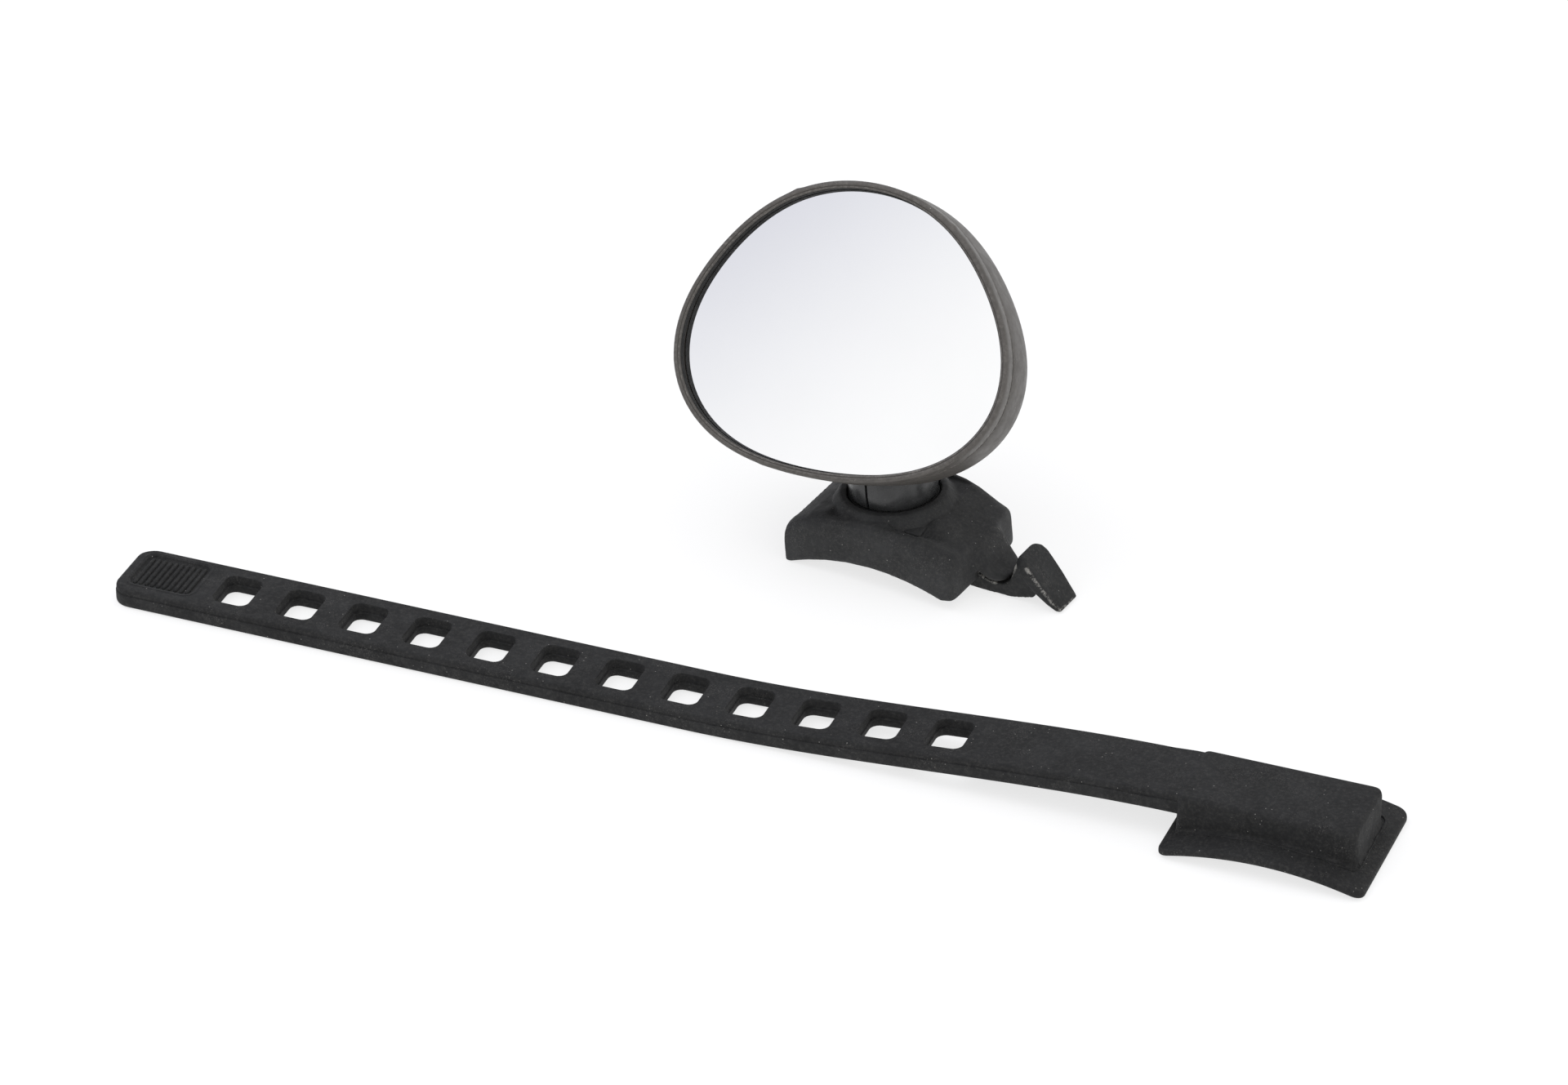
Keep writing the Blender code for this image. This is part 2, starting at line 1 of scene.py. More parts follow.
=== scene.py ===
import json
from math import acos, atan2, cos, exp, hypot, pi, radians, sin, sqrt

import bmesh
import bpy
from mathutils import Matrix, Vector, noise


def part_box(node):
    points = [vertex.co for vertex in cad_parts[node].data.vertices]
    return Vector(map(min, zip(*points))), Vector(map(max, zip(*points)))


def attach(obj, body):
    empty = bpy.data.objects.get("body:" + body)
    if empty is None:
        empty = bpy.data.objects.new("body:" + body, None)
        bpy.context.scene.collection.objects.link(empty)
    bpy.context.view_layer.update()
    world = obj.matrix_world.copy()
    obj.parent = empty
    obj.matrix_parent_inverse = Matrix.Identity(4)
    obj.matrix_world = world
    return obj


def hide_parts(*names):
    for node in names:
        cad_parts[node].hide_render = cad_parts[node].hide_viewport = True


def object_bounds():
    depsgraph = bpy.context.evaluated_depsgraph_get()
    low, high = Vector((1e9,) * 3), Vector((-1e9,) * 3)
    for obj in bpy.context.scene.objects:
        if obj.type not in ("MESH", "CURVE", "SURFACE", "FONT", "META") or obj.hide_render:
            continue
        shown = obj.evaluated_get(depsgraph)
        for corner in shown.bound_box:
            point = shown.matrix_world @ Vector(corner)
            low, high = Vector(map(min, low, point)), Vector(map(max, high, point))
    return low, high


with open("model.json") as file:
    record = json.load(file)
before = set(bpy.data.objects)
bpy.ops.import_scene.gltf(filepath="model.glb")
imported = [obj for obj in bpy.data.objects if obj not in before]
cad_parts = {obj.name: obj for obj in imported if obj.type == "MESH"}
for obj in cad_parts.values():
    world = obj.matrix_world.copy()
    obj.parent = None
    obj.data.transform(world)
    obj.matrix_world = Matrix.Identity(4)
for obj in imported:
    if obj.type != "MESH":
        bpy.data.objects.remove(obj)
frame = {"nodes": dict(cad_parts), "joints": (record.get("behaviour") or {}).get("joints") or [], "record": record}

CAD_LOW, CAD_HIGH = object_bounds()
NODES = frame["nodes"]
RECORD = frame["record"]
JOINTS = {joint["name"]: joint for joint in frame["joints"]}
MM = 0.001

# Camera, at the angle the object is shown from
CAMERA_PLACE = (0.32826, -0.78504, 0.56940)
CAMERA_AZIMUTH = radians(21.44)
CAMERA_ELEVATION = radians(32.55)
CAMERA_LENS = 165.08
SENSOR_WIDTH = 36
FLOOR_GLOW = 0.72
FLOOR_REACH = 3.0
FLOOR_DROP = 0.05 * MM
WORLD_STRENGTH = 1.03

# Strap
BAND_WIDTH = 12.2 * MM
BAND_THICK = 2.9 * MM
BAND_EDGE = 0.5 * MM
LEDGE_SHARE = 0.68                  # the mould's parting ledge, as a share of the thickness
LEDGE_STEP = 0.2 * MM
RISE_START_X = 6.8 * MM
RISE_HEIGHT = 4.2 * MM
TIP_CORNER = 2.8 * MM
SIDE_GAP = 0.02 * MM                # the band is that much narrower on each side than the CAD's
SHOULDER = 0.25 * MM                # the band thickens by that before the block
SHOULDER_X = 76 * MM
FLARE = 0.5 * MM                    # of the block's foot
BLOCK_X = (80.4 * MM, 106.5 * MM)
BLOCK_WIDTH = 12.8 * MM
BLOCK_TOP = 7.5 * MM
PAD_THICK = 1.2 * MM
PAD_ARCH = 2.1 * MM
HOLE_LENGTH = 5.55 * MM
HOLE_WIDTH = 7.0 * MM
HOLE_CORNER = 1.3 * MM
HOLE_SHIFT = -0.1 * MM
TAB_LENGTH = 9.9 * MM
TAB_WIDTH = 8.0 * MM
TAB_X = -76.07 * MM
TAB_Y = 0.4 * MM
TAB_DEPTH = 0.42 * MM
RIB_COUNT = 10
RIB_PITCH = 0.92 * MM
RIB_R = 0.31 * MM

# Saddle and hook: how fine the even skin is, and how often it is smoothed
SADDLE_VOXEL = 0.18 * MM
SADDLE_PASSES = 5
HOOK_VOXEL = 0.15 * MM
HOOK_PASSES = 9
NOSE_PASSES = 40
COLLAR_R = 8.9                      # in millimetres, from the socket's axis
COLLAR_FADE = 0.8
SADDLE_TOP_Z = 6.0                  # in millimetres, the lowest point the hollow reaches

# Socket, ball and head
BALL_Z = 12.1 * MM                  # ball centre above the saddle's feet
SEAT_R = 4.6 * MM
CUP_TOP = 15.3 * MM
CUP_R = 6.7 * MM
CUP_FOOT_R = 5.0 * MM
CUP_BOTTOM = 6.3 * MM
SLIT_COUNT = 3
SLIT_TURN = radians(-96)
SLIT_HALF = 0.2 * MM
SLIT_BOTTOM = 8.9 * MM
HEAD_LEAN = radians(-34)
HEAD_ROLL = radians(-4)
HEAD_MIDDLE = (-6.7 * MM, -12.7 * MM, 18.4 * MM)
OUTLINE_R = 22.5 * MM
OUTLINE_STEPS = 144
GLASS_R = 245.0 * MM
GLASS_EDGE = 1.62 * MM
GLASS_BACK = 3.0 * MM
CLEAR_R = 7.6 * MM
CLEAR_WALL = 0.8 * MM
STUD_HOLE_R = 1.65 * MM
STUD_HOLE_Z = (6 * MM, 9.6 * MM)     # above the ball's centre
# Mould marks on the rim: where in degrees, half width in degrees, height in millimetres
NICKS = ((118, 1.6, 0.16), (52, 1.1, 0.14), (246, 1.3, 0.1), (196, 1.0, 0.07),
         (331, 1.2, 0.08))
SHELL_INSET = 0.06                  # in millimetres, so the fine shell stays inside the CAD

# Lighter lines, in the saddle's frame in millimetres, each with how far it reaches to its sides
# Along the saddle's edge by the seam: a painted highlight
SEAM_HIGHLIGHT = ((((15.4, 2.9, 5.7), (16.3, 2.8, 4.9), (17.1, 2.6, 3.0)), 0.22 * MM),)
# Along the hook's edges: worn, scuffed lines
HOOK_MARKS = ((((13.4, -2.5, 2.2), (14.4, -2.5, 1.0), (15.6, -2.5, 0.1), (17.6, -2.5, -0.45)),
               0.55 * MM),
              (((19.2, -2.5, -0.3), (20.6, -2.6, 1.8), (21.3, -2.6, 3.4)), 0.4 * MM),
              (((23.4, -3.2, 3.6), (24.8, -3.3, 1.85), (26.0, -3.2, 0.25), (27.2, -3.0, -1.35),
                (28.1, -2.7, -2.5)), 0.55 * MM),
              (((28.2, -2.5, -2.7), (28.3, 1.2, -2.8)), 0.35 * MM))


# ---------------------------------------------------------------- frames

def joint_place():
    """The saddle's frame, the socket's and the head's, from the record's joints."""
    swivel, tilt = JOINTS["socket_swivel"], JOINTS["ball_tilt"]
    ball = Vector(swivel["pos_m"])
    up = Vector(swivel["axis"]).normalized()
    across = Vector(tilt["axis"])
    turn = Matrix.Rotation(atan2(-up.y, -up.x), 4, "Z") @ Matrix.Rotation(-acos(up.z), 4, "Y")
    stand = Matrix.Translation(ball) @ turn
    head = (Matrix.Translation(ball) @ Matrix.Rotation(atan2(across.y, across.x), 4, "Z")
            @ Matrix.Rotation(HEAD_LEAN, 4, "X") @ Matrix.Rotation(HEAD_ROLL, 4, "Y"))
    return stand @ Matrix.Translation((0, 0, -BALL_Z)), stand, head


SADDLE, BALL, HEAD = joint_place()


# ---------------------------------------------------------------- mesh helpers

def piece(name, bm, matrix=None, crease=38):
    """Makes an object of a bmesh, its faces outward and its round sides smooth."""
    if matrix:
        bm.transform(matrix)
    bmesh.ops.recalc_face_normals(bm, faces=bm.faces)
    if bm.calc_volume(signed=True) < 0:
        bmesh.ops.reverse_faces(bm, faces=bm.faces)
    mesh = bpy.data.meshes.new(name)
    bm.to_mesh(mesh)
    bm.free()
    mesh.shade_smooth()
    mesh.set_sharp_from_angle(angle=radians(crease))
    thing = bpy.data.objects.new(name, mesh)
    bpy.context.scene.collection.objects.link(thing)
    return thing


def combine(target, tool, operation):
    """Applies one exact Boolean at once, and removes the tool."""
    change = target.modifiers.new("combine", "BOOLEAN")
    change.operation = operation
    change.solver = "EXACT"
    change.object = tool
    settle(target)
    bpy.data.objects.remove(tool, do_unlink=True)


def settle(target, crease=38):
    """Replaces a piece's mesh by what its modifiers give."""
    bpy.context.view_layer.update()
    graph = bpy.context.evaluated_depsgraph_get()
    mesh = bpy.data.meshes.new_from_object(target.evaluated_get(graph))
    target.modifiers.clear()
    target.data = mesh
    mesh.shade_smooth()
    mesh.set_sharp_from_angle(angle=radians(crease))


def skin(bm, rings, closed=False):
    """Joins equal rings of points in order, capped, or closed from the last to the first."""
    rows = [[bm.verts.new(point) for point in ring] for ring in rings]
    count = len(rows[0])
    pairs = list(zip(rows, rows[1:]))
    if closed:
        pairs.append((rows[-1], rows[0]))
    for low, high in pairs:
        for i in range(count):
            j = (i + 1) % count
            bm.faces.new((low[i], low[j], high[j], high[i]))
    if not closed:
        bm.faces.new(rows[0][::-1])
        bm.faces.new(rows[-1])


def loft(rings):
    bm = bmesh.new()
    skin(bm, rings)
    return bm


def turned(profile, steps):
    """Revolves a closed (r, z) profile about Z."""
    bm = bmesh.new()
    poles = {k: bm.verts.new((0, 0, z)) for k, (r, z) in enumerate(profile) if r == 0}
    rows = []
    for i in range(steps):
        angle = 2 * pi * i / steps
        row = []
        for k, (r, z) in enumerate(profile):
            row.append(poles.get(k) or bm.verts.new((r * cos(angle), r * sin(angle), z)))
        rows.append(row)
    for a, b in zip(rows, rows[1:] + rows[:1]):
        for k in range(len(profile)):
            m = (k + 1) % len(profile)
            corners = [a[k], b[k], b[m], a[m]]
            distinct = [v for n, v in enumerate(corners) if v not in corners[:n]]
            if len(distinct) > 2:
                bm.faces.new(distinct)
    return bm


def arc(centre, radius, start, end, steps):
    points = []
    for i in range(steps + 1):
        angle = radians(start + (end - start) * i / steps)
        points.append((centre[0] + radius * cos(angle), centre[1] + radius * sin(angle)))
    return points


def rounded_rectangle(length, width, corner, steps=6):
    x, y = length / 2 - corner, width / 2 - corner
    points = arc((x, y), corner, 0, 90, steps)
    points += arc((-x, y), corner, 90, 180, steps)
    points += arc((-x, -y), corner, 180, 270, steps)
    points += arc((x, -y), corner, 270, 360, steps)
    return points


def refined(points, parts):
    """A smooth curve through points of any size, with parts steps between each two."""
    out = []
    last = len(points) - 1
    for i in range(last):
        a, b, c, d = (points[min(max(i + k, 0), last)] for k in (-1, 0, 1, 2))
        for step in range(parts):
            t = step / parts
            out.append(tuple(
                0.5 * (2 * q + (r - p) * t + (2 * p - 5 * q + 4 * r - s) * t * t
                       + (3 * q - p - 3 * r + s) * t ** 3)
                for p, q, r, s in zip(a, b, c, d)))
    out.append(tuple(points[-1]))
    return out


def spread(low, high, count):
    return [low + (high - low) * i / count for i in range(count + 1)]


def ramp(value, low, high):
    """0 up to low, 1 from high on, and straight in between."""
    return min(1.0, max(0.0, (value - low) / (high - low)))


def inset_at(distance, radius):
    """How far a rounded corner of that radius stands in at a distance from its end."""
    if distance >= radius:
        return 0.0
    return radius - sqrt(max(radius ** 2 - (radius - distance) ** 2, 0.0))


# ---------------------------------------------------------------- materials

class Paint:
    """A procedural material: mottled colour, dust, scuffs on edges, and a fine grain."""

    def __init__(self, name):
        self.made = bpy.data.materials.new(name)
        self.made.use_nodes = True
        self.tree = self.made.node_tree
        self.shader = self.tree.nodes["Principled BSDF"]
        self.where = self.tree.nodes.new("ShaderNodeTexCoord").outputs["Object"]
        self.bump = None

    def link(self, out, into):
        self.tree.links.new(out, into)

    def cloud(self, scale, detail=4.0, rough=0.6):
        node = self.tree.nodes.new("ShaderNodeTexNoise")
        node.inputs["Scale"].default_value = scale
        node.inputs["Detail"].default_value = detail
        node.inputs["Roughness"].default_value = rough
        self.link(self.where, node.inputs["Vector"])
        return node.outputs["Fac"]

    def cells(self, scale):
        node = self.tree.nodes.new("ShaderNodeTexVoronoi")
        node.inputs["Scale"].default_value = scale
        self.link(self.where, node.inputs["Vector"])
        return node.outputs["Distance"], node.outputs["Color"]

    def band(self, value, low, high, to_low=0.0, to_high=1.0):
        """Maps low..high to to_low..to_high, smoothly and clamped. Low may be above high."""
        node = self.tree.nodes.new("ShaderNodeMapRange")
        node.interpolation_type = "SMOOTHSTEP"
        for key, number in (("From Min", low), ("From Max", high),
                            ("To Min", to_low), ("To Max", to_high)):
            node.inputs[key].default_value = number
        self.link(value, node.inputs["Value"])
        return node.outputs["Result"]

    def maths(self, operation, a, b):
        node = self.tree.nodes.new("ShaderNodeMath")
        node.operation = operation
        for socket, value in zip(node.inputs, (a, b)):
            if isinstance(value, (int, float)):
                socket.default_value = value
            else:
                self.link(value, socket)
        return node.outputs["Value"]

    def mix(self, share, a, b):
        node = self.tree.nodes.new("ShaderNodeMix")
        node.data_type = "RGBA"
        self.link(share, node.inputs["Factor"])
        sockets = [s for s in node.inputs if s.type == "RGBA"]
        for socket, value in zip(sockets, (a, b)):
            if isinstance(value, tuple):
                socket.default_value = (*value, 1.0)
            else:
                self.link(value, socket)
        return [s for s in node.outputs if s.type == "RGBA"][0]

    def near(self, start, end, reach):
        """1 along a straight line between two points, fading to 0 at reach."""
        axis = end - start
        steps = []
        for operation in ("SUBTRACT", "DOT_PRODUCT", "SCALE", "DISTANCE"):
            node = self.tree.nodes.new("ShaderNodeVectorMath")
            node.operation = operation
            steps.append(node)
        away, dot, along, gap = steps
        self.link(self.where, away.inputs[0])
        away.inputs[1].default_value = start
        self.link(away.outputs["Vector"], dot.inputs[0])
        dot.inputs[1].default_value = axis / axis.length_squared
        share = self.maths("MINIMUM", self.maths("MAXIMUM", dot.outputs["Value"], 0.0), 1.0)
        along.inputs[0].default_value = axis
        self.link(share, along.inputs["Scale"])
        self.link(away.outputs["Vector"], gap.inputs[0])
        self.link(along.outputs["Vector"], gap.inputs[1])
        return self.band(gap.outputs["Value"], reach, reach * 0.15)

    def relief(self, height, distance, strength=1.0):
        """Adds one layer of bump, its height in metres."""
        node = self.tree.nodes.new("ShaderNodeBump")
        node.inputs["Strength"].default_value = strength
        node.inputs["Distance"].default_value = distance
        self.link(height, node.inputs["Height"])
        if self.bump:
            self.link(self.bump, node.inputs["Normal"])
        self.bump = node.outputs["Normal"]
        self.link(self.bump, self.shader.inputs["Normal"])

    def specks(self, scale, size, share):
        """Small round grains of dust, in a share of the cells."""
        distance, colour = self.cells(scale)
        dot = self.band(distance, size, size * 0.6)
        pick = self.tree.nodes.new("ShaderNodeSeparateColor")
        self.link(colour, pick.inputs["Color"])
        chosen = self.maths("LESS_THAN", pick.outputs["Red"], share)
        return self.maths("MULTIPLY", dot, chosen)

    def edges(self, low, high):
        node = self.tree.nodes.new("ShaderNodeNewGeometry")
        return self.band(node.outputs["Pointiness"], low, high)


def scaled(colour, factor):
    return tuple(min(1.0, part * factor) for part in colour)


def moulded(name, colour, rough, gloss, dust, grain=0.00003, grain_scale=5200.0,
            mottle=0.25, speck_share=0.25, scuff=0.0, sheen=0.0, lines_worn_and_highlighted=()):
    """Moulded rubber or plastic: colour, roughness, specular level and dust as named, with lighter lines along
    given routes: worn scuffs on the hook, a painted highlight on the saddle.
    """
    paint = Paint(name)
    broad = paint.band(paint.cloud(140.0), 0.3, 0.7)
    tone = paint.mix(broad, scaled(colour, 1 - mottle), scaled(colour, 1 + mottle))
    fine = paint.band(paint.cloud(1900.0, 5.0, 0.7), 0.42, 0.78)
    tone = paint.mix(paint.maths("MULTIPLY", fine, 0.35), tone, scaled(dust, 0.45))
    patch = paint.band(paint.cloud(210.0, 3.0), 0.45, 0.72)
    grit = paint.maths("MULTIPLY", paint.band(paint.cloud(5200.0, 2.0), 0.56, 0.72), patch)
    tone = paint.mix(paint.maths("MULTIPLY", grit, 0.5), tone, dust)
    tone = paint.mix(paint.maths("MULTIPLY", paint.specks(950.0, 0.09, speck_share), 0.8),
                     tone, scaled(dust, 1.6))
    if scuff:
        streak = paint.band(paint.cloud(1500.0, 6.0, 0.75), 0.47, 0.6)
        worn = paint.maths("MULTIPLY", paint.edges(0.515, 0.56), streak)
        tone = paint.mix(paint.maths("MULTIPLY", worn, scuff), tone, scaled(dust, 1.5))
    # Lighter lines along the given routes: worn scuffs, and on the saddle a painted highlight
    for route, reach in lines_worn_and_highlighted:
        scratch_and_highlight = paint.band(paint.cloud(1700.0, 7.0, 0.8), 0.45, 0.58)
        for start, end in zip(route, route[1:]):
            line = paint.near(SADDLE @ (Vector(start) * MM), SADDLE @ (Vector(end) * MM), reach)
            tone = paint.mix(paint.maths("MULTIPLY", line, scratch_and_highlight), tone, scaled(dust, 1.7))
    paint.link(tone, paint.shader.inputs["Base Color"])
    paint.link(paint.band(paint.cloud(600.0, 4.0), 0.3, 0.7, rough - 0.07, rough + 0.07),
               paint.shader.inputs["Roughness"])
    paint.shader.inputs["Specular IOR Level"].default_value = gloss
    paint.shader.inputs["Sheen Weight"].default_value = sheen
    paint.shader.inputs["Sheen Roughness"].default_value = 0.5
    paint.relief(paint.cloud(grain_scale, 4.0, 0.6), grain)
    paint.relief(paint.cloud(420.0, 3.0, 0.5), grain * 3)
    return paint.made


def polished(name, colour):
    """Polished black plastic with faint rubbing marks round it."""
    paint = Paint(name)
    broad = paint.band(paint.cloud(300.0), 0.3, 0.7)
    tone = paint.mix(broad, scaled(colour, 0.8), scaled(colour, 1.25))
    tone = paint.mix(paint.maths("MULTIPLY", paint.specks(1100.0, 0.08, 0.12), 0.6),
                     tone, (0.2, 0.2, 0.2))
    paint.link(tone, paint.shader.inputs["Base Color"])
    smear = paint.cloud(900.0, 5.0, 0.7)
    paint.link(paint.band(smear, 0.35, 0.75, 0.2, 0.36), paint.shader.inputs["Roughness"])
    paint.shader.inputs["Specular IOR Level"].default_value = 0.5
    paint.relief(paint.cloud(700.0, 2.0), 0.00001)
    return paint.made


def silvered(name, colour):
    """Mirror glass: clean silver with a very faint haze and a little dust."""
    paint = Paint(name)
    haze = paint.band(paint.cloud(60.0, 5.0, 0.6), 0.3, 0.8)
    tone = paint.mix(haze, colour, scaled(colour, 0.985))
    tone = paint.mix(paint.maths("MULTIPLY", paint.specks(420.0, 0.03, 0.08), 0.35),
                     tone, (0.5, 0.5, 0.5))
    paint.link(tone, paint.shader.inputs["Base Color"])
    paint.link(paint.band(paint.cloud(90.0, 6.0, 0.7), 0.3, 0.9, 0.008, 0.035),
               paint.shader.inputs["Roughness"])
    paint.shader.inputs["Metallic"].default_value = 1.0
    return paint.made


def metal(name, colour, rough):
    """Plated steel with turning marks and dull spots."""
    paint = Paint(name)
    broad = paint.band(paint.cloud(500.0), 0.3, 0.7)
    tone = paint.mix(broad, scaled(colour, 0.8), scaled(colour, 1.1))
    paint.link(tone, paint.shader.inputs["Base Color"])
    paint.link(paint.band(paint.cloud(2600.0, 5.0, 0.7), 0.3, 0.7, rough - 0.08, rough + 0.12),
               paint.shader.inputs["Roughness"])
    paint.shader.inputs["Metallic"].default_value = 1.0
    paint.relief(paint.cloud(6000.0, 3.0), 0.00001)
    return paint.made


def make_paints():
    pale = (0.16, 0.155, 0.145)
    return {
        "strap_rubber": moulded("strap_rubber", (0.0125, 0.0127, 0.0131), 0.76, 0.24, pale,
                                speck_share=0.42, sheen=0.02),
        # The saddle's rubber also carries a painted highlight along its seam edge
        "saddle_rubber": moulded("saddle_rubber", (0.02, 0.0205, 0.0212), 0.72, 0.3, pale,
                                 grain=0.000035, speck_share=0.35, sheen=0.03,
                                 lines_worn_and_highlighted=SEAM_HIGHLIGHT),
        "hook_plastic": moulded("hook_plastic", (0.012, 0.0125, 0.013), 0.62, 0.25, pale,
                                grain=0.00002, speck_share=0.06,
                                lines_worn_and_highlighted=HOOK_MARKS),
        "head_plastic": moulded("head_plastic", (0.072, 0.066, 0.06), 0.5, 0.4,
                                (0.3, 0.28, 0.26), grain=0.000016, mottle=0.1,
                                speck_share=0.12, scuff=0.25),
        "socket_plastic": polished("socket_plastic", (0.03, 0.0305, 0.031)),
        "mirror_silver": silvered("mirror_silver", (0.95, 0.953, 0.96)),
        "plated_steel": metal("plated_steel", (0.55, 0.55, 0.56), 0.3),
        "washer_nylon": moulded("washer_nylon", (0.6, 0.6, 0.57), 0.5, 0.4, (0.7, 0.7, 0.66),
                                mottle=0.05),
        "pad_foam": moulded("pad_foam", (0.02, 0.02, 0.02), 0.9, 0.1, (0.06, 0.06, 0.06),
                            grain=0.0001, grain_scale=2500.0),
    }


PAINTS = make_paints()


def dress(thing, slot, body, *nodes):
    """Gives a finished piece its material and its body, and hides the CAD nodes it stands for."""
    thing.data.materials.clear()
    thing.data.materials.append(PAINTS[slot])
    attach(thing, body)
    if nodes:
        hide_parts(*nodes)
    return thing


# ---------------------------------------------------------------- strap

def band_rise(x):
    u = ramp(x, RISE_START_X, BLOCK_X[0])
    return RISE_HEIGHT * u * u * (3 - 2 * u)


def pad_underside(x):
    low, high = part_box("anchor_pad")
    middle, half = (low.x + high.x) / 2, (high.x - low.x) / 2
    return PAD_ARCH * max(0.0, 1 - ((x - middle) / half) ** 2)


def band_ring(x, half, low, high):
    """One section of the band, with rounded edges and the parting ledge along its sides."""
    edge = min(BAND_EDGE, 0.3 * (high - low))
    ledge = low + LEDGE_SHARE * (high - low)
    upper = half - LEDGE_STEP
    side = [(upper - 0.01 * MM, ledge + 0.1 * MM), (upper, ledge + 0.03 * MM),
            (half - 0.05 * MM, ledge), (half, ledge - 0.06 * MM)]
    right = arc((upper - edge, high - edge), edge, 90, 0, 5) + side
    right += arc((half - edge, low + edge), edge, 0, -90, 5)
    left = [(-y, z) for y, z in reversed(right)]
    return [(x, y, z) for y, z in right + left]


def band_solid():
    half = BAND_WIDTH / 2
    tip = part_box("strap_band")[0].x
    places = [0.0, 0.04, 0.1, 0.2, 0.35, 0.5, 0.75, 1.0, 1.3, 1.7, 2.2, 2.8, 3.5]
    rings = []
    for step in places:
        away = step * MM
        curl = inset_at(away, BAND_EDGE)
        width = half - inset_at(away, TIP_CORNER) - SIDE_GAP
        rings.append(band_ring(tip + away, width, 0.8 * curl, BAND_THICK - 0.8 * curl))
    stations = spread(tip + 6 * MM, RISE_START_X, 30) + spread(RISE_START_X, 83 * MM, 44)[1:]
    for x in stations:
        low = band_rise(x)
        grow = SHOULDER * ramp(x, SHOULDER_X, SHOULDER_X + 4 * MM)
        rings.append(band_ring(x, half - SIDE_GAP, low, low + BAND_THICK + grow))
    return loft(rings)


def block_ring(x, half, high, flare):
    """One section of the anchor block, its foot flaring out onto the pad."""
    foot = pad_underside(x) + PAD_THICK
    high = max(high, foot + 0.12 * MM)
    edge = min(0.8 * MM, 0.6 * (high - foot), 0.9 * half)
    right = arc((half - edge, high - edge), edge, 90, 0, 6)
    rise = high - edge - foot
    right += [(half + 0.03 * MM, foot + min(0.9 * MM, rise * 0.7)),
              (half + 0.1 * flare, foot + min(0.5 * MM, rise * 0.45)),
              (half + 0.4 * flare, foot + min(0.2 * MM, rise * 0.2)),
              (half + flare, foot + 0.02 * MM), (half + flare, foot - 0.3 * MM)]
    left = [(-y, z) for y, z in reversed(right)]
    return [(x, y, z) for y, z in right + left]


def block_solid():
    half = BLOCK_WIDTH / 2
    left, right = BLOCK_X
    ends = [(-0.45, 0.1), (-0.3, 0.16), (-0.15, 0.32), (-0.05, 0.7), (0.0, 1.4)]
    rings = []
    for step, rise in ends:
        foot = pad_underside(right - step * MM) + PAD_THICK
        rings.append(block_ring(right - step * MM, half - 1.25 * MM, foot + rise * MM, FLARE))
    for step in (0.02, 0.06, 0.14, 0.25, 0.4, 0.6, 0.85, 1.15, 1.5):
        high = BLOCK_TOP - 0.8 * inset_at(step * MM, 0.8 * MM)
        width = half - 0.85 * inset_at(step * MM, 1.5 * MM)
        rings.append(block_ring(right - step * MM, width, high, FLARE))
    for x in reversed(spread(left + 1.4 * MM, right - 2.4 * MM, 26)):
        rings.append(block_ring(x, half, BLOCK_TOP, FLARE))
    for step in (1.0, 0.65, 0.4, 0.2, 0.08, 0.0):
        high = BLOCK_TOP - 0.5 * inset_at(step * MM, 0.8 * MM)
        width = half - 0.8 * inset_at(step * MM, 1.1 * MM)
        rings.append(block_ring(left + step * MM, width, high, FLARE))
    return loft(rings)


def hole_cutters():
    """One flared cutter for each opening in the record, with the mould line half way down."""
    top = BAND_THICK
    levels = ((-0.9, 0.75), (0.0, 0.22), (0.1, 0.09), (0.25, 0.02), (0.5, 0.0), (1.2, 0.0),
              (1.3, -0.16), (1.42, -0.16), (1.52, 0.02), (2.4, 0.03), (2.7, 0.03),
              (2.82, 0.06), (2.9, 0.12), (3.5, 0.5))
    bm = bmesh.new()
    for opening in RECORD["physics"]["openings"]:
        if not opening["name"].startswith("strap_hole"):
            continue
        low, high = opening["box_m"]
        middle = (low[0] + high[0]) / 2
        rings = []
        for level, grow in levels:
            outline = rounded_rectangle(HOLE_LENGTH + 2 * grow * MM, HOLE_WIDTH + 2 * grow * MM,
                                        HOLE_CORNER + max(grow, 0.0) * MM)
            height = level * MM
            rings.append([(middle + HOLE_SHIFT + x, y, band_rise(middle + x) + height)
                          for x, y in outline])
        skin(bm, rings)
    return piece("hole_cutters", bm)


def tab_cutter():
    """Shallow panel for the thumb, with soft sides."""
    rings = []
    for rise, grow in ((-TAB_DEPTH, -0.3 * MM), (-TAB_DEPTH + 0.06 * MM, -0.12 * MM),
                       (-0.18 * MM, 0.0), (-0.06 * MM, 0.06 * MM), (0.0, 0.16 * MM),
                       (0.4 * MM, 0.6 * MM)):
        outline = rounded_rectangle(TAB_LENGTH + 2 * grow, TAB_WIDTH + 2 * grow, 1.3 * MM + grow)
        rings.append([(TAB_X + x, TAB_Y + y, BAND_THICK + rise) for x, y in outline])
    return piece("tab_cutter", loft(rings))


def rib_bar(x):
    """A half-round rib that crosses the thumb panel, its ends rounded."""
    half = TAB_WIDTH / 2 - 0.5 * MM
    floor = BAND_THICK - TAB_DEPTH
    rings = []
    for y, share in ((-1.0, 0.3), (-0.97, 0.7), (-0.92, 0.95), (-0.85, 1.0), (0.0, 1.0),
                     (0.85, 1.0), (0.92, 0.95), (0.97, 0.7), (1.0, 0.3)):
        section = arc((0, 0), RIB_R * share, 0, 180, 8)
        across = TAB_Y + y * half
        rings.append([(x + a, across, floor + 1.15 * b) for a, b in section]
                     + [(x - RIB_R * share, across, floor - 0.3 * MM),
                        (x + RIB_R * share, across, floor - 0.3 * MM)])
    return rings


def tab_ribs():
    bm = bmesh.new()
    for i in range(RIB_COUNT):
        skin(bm, rib_bar(TAB_X + (i - (RIB_COUNT - 1) / 2) * RIB_PITCH))
    return piece("tab_ribs", bm)


